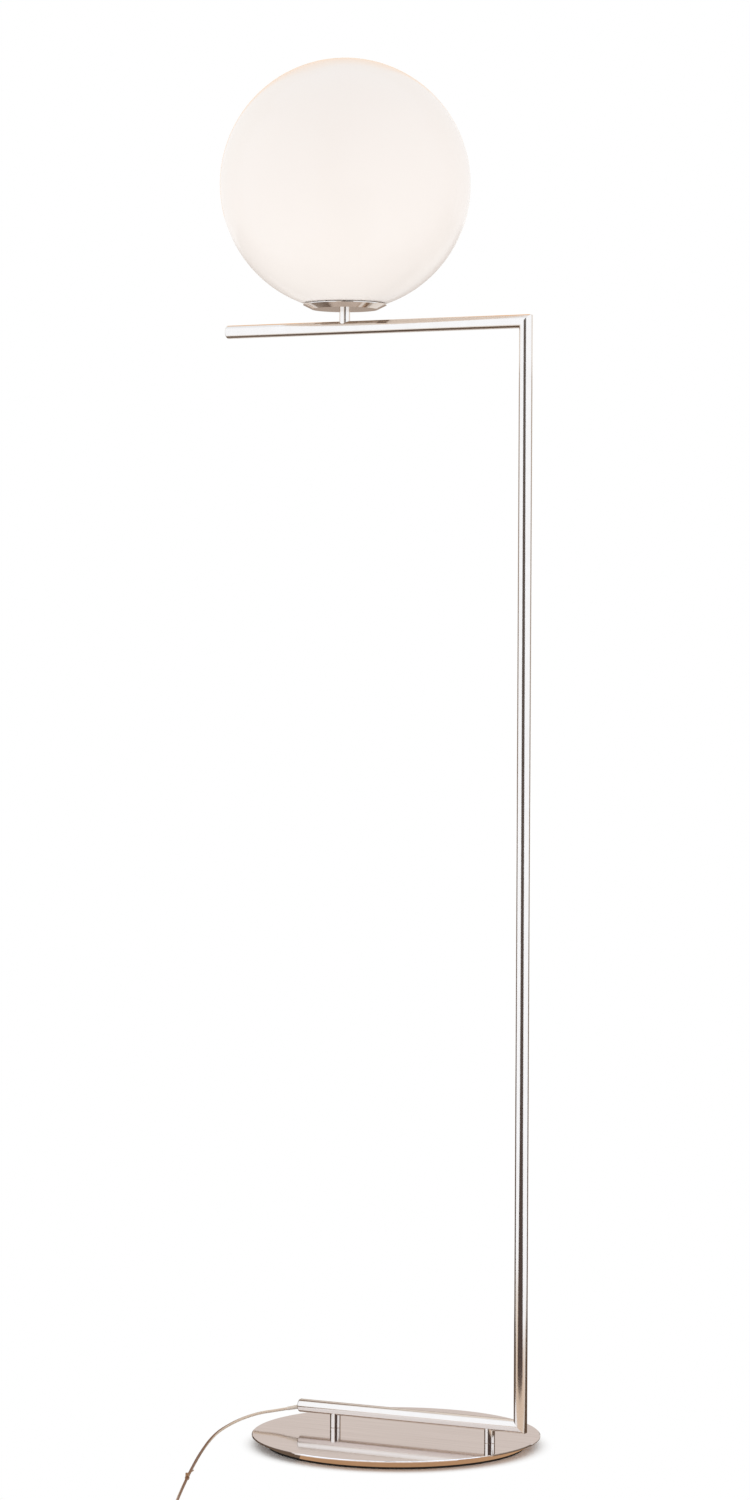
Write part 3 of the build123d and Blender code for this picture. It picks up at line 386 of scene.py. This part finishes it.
route = [(-0.14569, -0.00379, 0.03007), (-0.15897, -0.0071, 0.02716), (-0.175, -0.0185, 0.0248),
         (-0.1875, -0.033, 0.0206), (-0.1955, -0.051, 0.0159), (-0.199, -0.078, 0.0102),
         (-0.194, -0.108, 0.0054), (-0.1815, -0.147, 0.0017), (-0.1615, -0.195, 0.0017),
         (-0.142, -0.2395, 0.0017), (-0.122, -0.2835, 0.0026), (-0.1, -0.332, 0.0026),
         (-0.077, -0.383, 0.0017), (-0.052, -0.4365, 0.0017), (-0.0275, -0.479, 0.0017),
         (-0.004, -0.5025, 0.0032), on_run(-0.064, 0, CORD_AT_SWITCH), on_run(-0.046, 0, CORD_AT_SWITCH)]
lamp_cord = lay_cord("lamp_cord", route, steps=10)
lamp_cord.data.materials.append(sheath("clear_sheath_lamp_side", LAMP_CORD_LENGTH, phase=1.63))
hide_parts("cord_to_switch")

# Put-away length: the rest of the cord, wound into four layers of turns beside the switch, then the plug.
# Ten turns of a spiral that goes in and out, each layer on the one below.
PLUG_CORD_LENGTH = 1.37
COIL_TURNS = 10
POINTS_PER_TURN = 16
COIL_INNER = 0.015
COIL_PITCH = 0.004
COIL_LOW = 0.0028
COIL_MIDDLE = (0.105, -0.022)
COIL_LEAD = 0.0144           # straight bit where the cord comes to the coil and leaves it
COIL_LAYERS = 4
LAYER_SWING = 2.5            # turns in a layer, from its inside to its outside or back
FIRST_SWING = 2.75           # turns inwards before the spiral first goes outwards
CLIMB_TURNS = 0.5            # turns in which the cord climbs to the next layer


def coil_point(turn):
    """Spiral in and out, one layer on the other, with each climb in the half turn of its reversal."""
    phase = (turn - FIRST_SWING) / LAYER_SWING
    whole = math.floor(phase)
    share = phase - whole if whole % 2 == 0 else 1 - phase + whole
    radius = COIL_INNER + COIL_PITCH * (FIRST_SWING - turn if phase < 0 else LAYER_SWING * share)
    height = COIL_LOW
    for layer in range(1, COIL_LAYERS):
        rise = min(max((turn - LAYER_SWING * layer) / CLIMB_TURNS, 0), 1)
        height += COIL_PITCH * rise * rise * (3 - 2 * rise)
    angle = math.radians(90) - 2 * math.pi * turn
    return on_run(COIL_MIDDLE[0] + radius * math.cos(angle), COIL_MIDDLE[1] + radius * math.sin(angle),
                  height)


start, end = coil_point(0), coil_point(COIL_TURNS)
arriving = (coil_point(0.001) - start).normalized()
leaving = (end - coil_point(COIL_TURNS - 0.001)).normalized()
route = [on_run(0.046, 0, CORD_AT_SWITCH), on_run(0.059, 0, CORD_AT_SWITCH),
         on_run(0.075, 0.0015, 0.0043), start - arriving * COIL_LEAD]
route += [coil_point(step / POINTS_PER_TURN) for step in range(COIL_TURNS * POINTS_PER_TURN + 1)]
route += [end + leaving * COIL_LEAD, on_run(0.134, 0.0014, 0.0115), on_run(0.149, 0, CORD_AT_PLUG),
          on_run(PLUG_TIP, 0, CORD_AT_PLUG)]
plug_cord = lay_cord("plug_cord", route, steps=4)
plug_cord.data.materials.append(sheath("clear_sheath_plug_side", PLUG_CORD_LENGTH, phase=1.0))
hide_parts("cord_to_coil", "cord_coil", "cord_to_plug")

# Ties: a small tie with a cut tail on the cord in front of the base, and the strap round the coil.
# Moulded in brown nylon, softly glossy and a little uneven in tone.
NYLON_CLOUD = 0.002
nylon = mottled("brown_nylon", NYLON_CLOUD, "#8A6543", "#A87F58", roughness=0.4)[0]
dress(nylon, "cord_marker", "coil_tie")

# Floor: matt white paper, wide enough to run out into white behind the lamp.
# It keeps the shadows under the base and round switch, coil and plug, and further off it is plain white.
FLOOR_HALF = 15.0
FLOOR_BELOW = 0.0003
BASE_SHADOW = (0.162, 0.190)                 # from the middle of the base, paper before and white after
RUN_SHADOW_MIDDLE = (0.085, -0.01, 0)
RUN_SHADOW_HALVES = (0.21, 0.09, 1.0)        # half length and half width of an oval along the run
RUN_SHADOW_PLAIN = 0.6                       # share of the oval that is all paper


def directly_seen(tree):
    """1 for rays from the camera, from a mirror or through glass, and 0 for rays that only carry light."""
    rays = add(tree, "ShaderNodeLightPath")
    seen = rays.outputs["Is Camera Ray"]
    for kind in ("Is Glossy Ray", "Is Transmission Ray"):
        seen = add(tree, "ShaderNodeMath", [(0, seen), (1, rays.outputs[kind])],
                   operation="MAXIMUM").outputs["Value"]
    return seen


paper, tree, shader = finish_named("white_paper")
tree.nodes.remove(shader)
matt = add(tree, "ShaderNodeBsdfDiffuse", [("Color", linear("#FBFBFA"))])
white = add(tree, "ShaderNodeEmission", [("Color", (1, 1, 1, 1)), ("Strength", 1.0)])
place = add(tree, "ShaderNodeTexCoord")
off_base = add(tree, "ShaderNodeVectorMath", [(0, place.outputs["Object"])], operation="LENGTH")
fade_base = add(tree, "ShaderNodeMapRange", [("Value", off_base.outputs["Value"]),
                                             ("From Min", BASE_SHADOW[0]), ("From Max", BASE_SHADOW[1])],
                interpolation_type="SMOOTHSTEP")
beside = add(tree, "ShaderNodeMapping", [("Vector", place.outputs["Object"]),
                                         ("Location", on_run(*RUN_SHADOW_MIDDLE)),
                                         ("Rotation", (0, 0, RUN_TURN)), ("Scale", RUN_SHADOW_HALVES)],
             vector_type="TEXTURE")
off_run = add(tree, "ShaderNodeVectorMath", [(0, beside.outputs["Vector"])], operation="LENGTH")
fade_run = add(tree, "ShaderNodeMapRange", [("Value", off_run.outputs["Value"]), ("From Min", RUN_SHADOW_PLAIN),
                                            ("From Max", 1.0)], interpolation_type="SMOOTHSTEP")
fade = add(tree, "ShaderNodeMath", [(0, fade_base.outputs["Result"]), (1, fade_run.outputs["Result"])],
           operation="MINIMUM")
share = add(tree, "ShaderNodeMath", [(0, fade.outputs["Value"]), (1, directly_seen(tree))],
            operation="MULTIPLY")
blend = add(tree, "ShaderNodeMixShader", [(0, share.outputs["Value"]), (1, matt.outputs["BSDF"]),
                                          (2, white.outputs["Emission"])])
tree.links.new(blend.outputs["Shader"], tree.nodes["Material Output"].inputs["Surface"])
shape = bmesh.new()
bmesh.ops.create_grid(shape, x_segments=1, y_segments=1, size=FLOOR_HALF)
bmesh.ops.translate(shape, verts=shape.verts, vec=(0, 0, -FLOOR_BELOW))
make("floor", shape, paper)

# Light: a white room, and two tall soft boxes beside the lamp that give the base its two soft shadows.
# A small, warm box in front of the post is turned up to the underside of the ball.
# The room counts as white where it is seen, also in metal and glass, and lights the lamp a little less.
ROOM_LIGHT = 0.9
POST = Vector((0.164, 0.0, 0.0))
TO_CAMERA = Vector((0.425, -0.905, 0.0))
TO_RIGHT = Vector((0.905, 0.425, 0.0))
NEUTRAL, WARM = (1.0, 1.0, 1.0), (1.0, 0.98, 0.95)
world = bpy.data.worlds.new("studio")
bpy.context.scene.world = world
world.use_nodes = True
tree = world.node_tree
level = add(tree, "ShaderNodeMapRange", [("Value", directly_seen(tree)), ("To Min", ROOM_LIGHT),
                                         ("To Max", 1.0)])
tree.links.new(level.outputs["Result"], tree.nodes["Background"].inputs["Strength"])
tree.nodes["Background"].inputs["Color"].default_value = (1, 1, 1, 1)


def studio_point(turn, distance, height):
    """Point seen from the post at an angle from the camera's direction, to the right if positive."""
    turn = math.radians(turn)
    return POST + (TO_CAMERA * math.cos(turn) + TO_RIGHT * math.sin(turn)) * distance + Vector((0, 0, height))


for name, stand_at, aim_height, size, power, colour in (
        ("soft_box_left", (-72, 1.7, 1.32), 1.0, (2.2, 2.6), 3.9, NEUTRAL),
        ("soft_box_right", (60, 1.7, 1.32), 1.0, (2.2, 2.6), 5.0, NEUTRAL),
        ("soft_box_below", (-15, 0.45, 0.75), 1.5, (1.2, 1.2), 0.8, WARM)):
    lamp = bpy.data.lights.new(name, "AREA")
    lamp.shape = "RECTANGLE"
    lamp.size, lamp.size_y = size
    lamp.energy = power
    lamp.color = colour
    box = bpy.data.objects.new(name, lamp)
    box.location = studio_point(*stand_at)
    towards = POST + Vector((0, 0, aim_height)) - box.location
    box.rotation_euler = towards.to_track_quat("-Z", "Y").to_euler()
    box.visible_camera = box.visible_glossy = False
    bpy.context.scene.collection.objects.link(box)


# Cards: white, beige and dark boards round the lamp, which only its polished metal and glass see.
# The white ones draw the bands on the tubes, the dark ones the stripe on the post and the edges of the tubes.
def card(name, corners, low_colour, high_colour, strength=1.0):
    """Board between four corners, its colour blended from its lowest to its highest point."""
    material, tree, shader = finish_named(name)
    tree.nodes.remove(shader)
    place = add(tree, "ShaderNodeTexCoord")
    split = add(tree, "ShaderNodeSeparateXYZ", [("Vector", place.outputs["Object"])])
    heights = [corner.z for corner in corners]
    rise = add(tree, "ShaderNodeMapRange", [("Value", split.outputs["Z"]), ("From Min", min(heights)),
                                            ("From Max", max(heights))])
    shade = add(tree, "ShaderNodeMix", [("Factor", rise.outputs["Result"]), ("A", linear(low_colour)),
                                        ("B", linear(high_colour))], data_type="RGBA")
    glow = add(tree, "ShaderNodeEmission", [("Color", shade.outputs["Result"]), ("Strength", strength)])
    tree.links.new(glow.outputs["Emission"], tree.nodes["Material Output"].inputs["Surface"])
    shape = bmesh.new()
    shape.faces.new([shape.verts.new(corner) for corner in corners])
    board = make(name, shape, material)
    board.visible_camera = board.visible_diffuse = board.visible_shadow = board.visible_transmission = False


def set_up(name, low_edge, high_edge, *look):
    """Card with its lower and upper edge given as two directions from the post, a distance and a height."""
    corners = [studio_point(low_edge[0], *low_edge[2:]), studio_point(low_edge[1], *low_edge[2:]),
               studio_point(high_edge[1], *high_edge[2:]), studio_point(high_edge[0], *high_edge[2:])]
    card(name, corners, *look)


def lay_down(name, height, corners, colour, strength):
    """Card flat over the floor, its corners given to the right of the base and towards the camera."""
    card(name, [TO_RIGHT * right + TO_CAMERA * near + Vector((0, 0, height)) for right, near in corners],
         colour, colour, strength)


set_up("front_flag_low", (-50, 38, 0.46, 0.015), (-31, 24, 0.46, 0.34), "#544846", "#5A504E")
set_up("front_flag_high", (-31, 24, 0.46, 0.34), (-36, 5, 0.46, 1.42), "#5A504E", "#6A6664")
set_up("white_card_left", (-106, -30, 1.5, 0.02), (-106, -30, 1.5, 2.6), "#E3F0FF", "#E3F0FF", 1.7)
set_up("white_card_right", (-8, 106, 1.5, 0.0), (-8, 106, 1.5, 3.0), "#E3F0FF", "#E3F0FF", 1.7)
set_up("white_card_above", (-60, 60, 2.0, 2.9), (240, 120, 1.6, 2.9), "#E3F0FF", "#E3F0FF", 1.5)
set_up("side_flag_left", (-148, -100, 0.9, 0.0), (-148, -114, 0.9, 1.34), "#4C3E37", "#B4A89E")
set_up("side_flag_right", (104, 148, 0.9, 0.0), (114, 148, 0.9, 1.34), "#5A4A42", "#C0B6AC")
set_up("low_card", (150, 212, 1.0, 0.02), (150, 212, 1.0, 0.36), "#DDD3CD", "#DDD3CD")
set_up("back_card", (160, 206, 2.4, 0.7), (160, 206, 2.4, 1.42), "#B0A196", "#B0A196")
set_up("floor_flag", (86, 274, 0.9, 0.001), (140, 222, 2.2, 0.001), "#6A594B", "#6A594B")
set_up("warm_card", (181, 219, 0.8, 1.5), (181, 219, 0.8, 2.3), "#F2C89C", "#F2C89C", 1.2)
lay_down("front_floor_card", 0.001, ((-0.5, 0.19), (0.6, 0.19), (1.6, 2.0), (-1.6, 2.0)), "#FFF0E2", 0.9)
lay_down("rim_flag", 0.0015, ((-0.11, -0.05), (0.165, -0.05), (0.165, 0.185), (-0.11, 0.185)), "#BE9672", 1.0)

# Camera: where the picture was taken from, a little above the middle of the lamp, with a long lens.
# Worked out from the lamp's edges in the picture, which is upright, so the sensor is fitted by its height.
CAMERA_PLACE = (2.20994, -4.35807, 0.93661)
CAMERA_TURN = (88.745, -0.246, 27.231)       # degrees
camera_data = bpy.data.cameras.new("camera")
camera_data.sensor_fit = "VERTICAL"
camera_data.sensor_height = 36.0
camera_data.lens = 98.46
camera_data.clip_end = 60.0
camera = bpy.data.objects.new("camera", camera_data)
camera.location = CAMERA_PLACE
camera.rotation_euler = [math.radians(angle) for angle in CAMERA_TURN]
bpy.context.scene.collection.objects.link(camera)
bpy.context.scene.camera = camera
bpy.context.scene.view_settings.view_transform = "Standard"

bpy.context.view_layer.update()
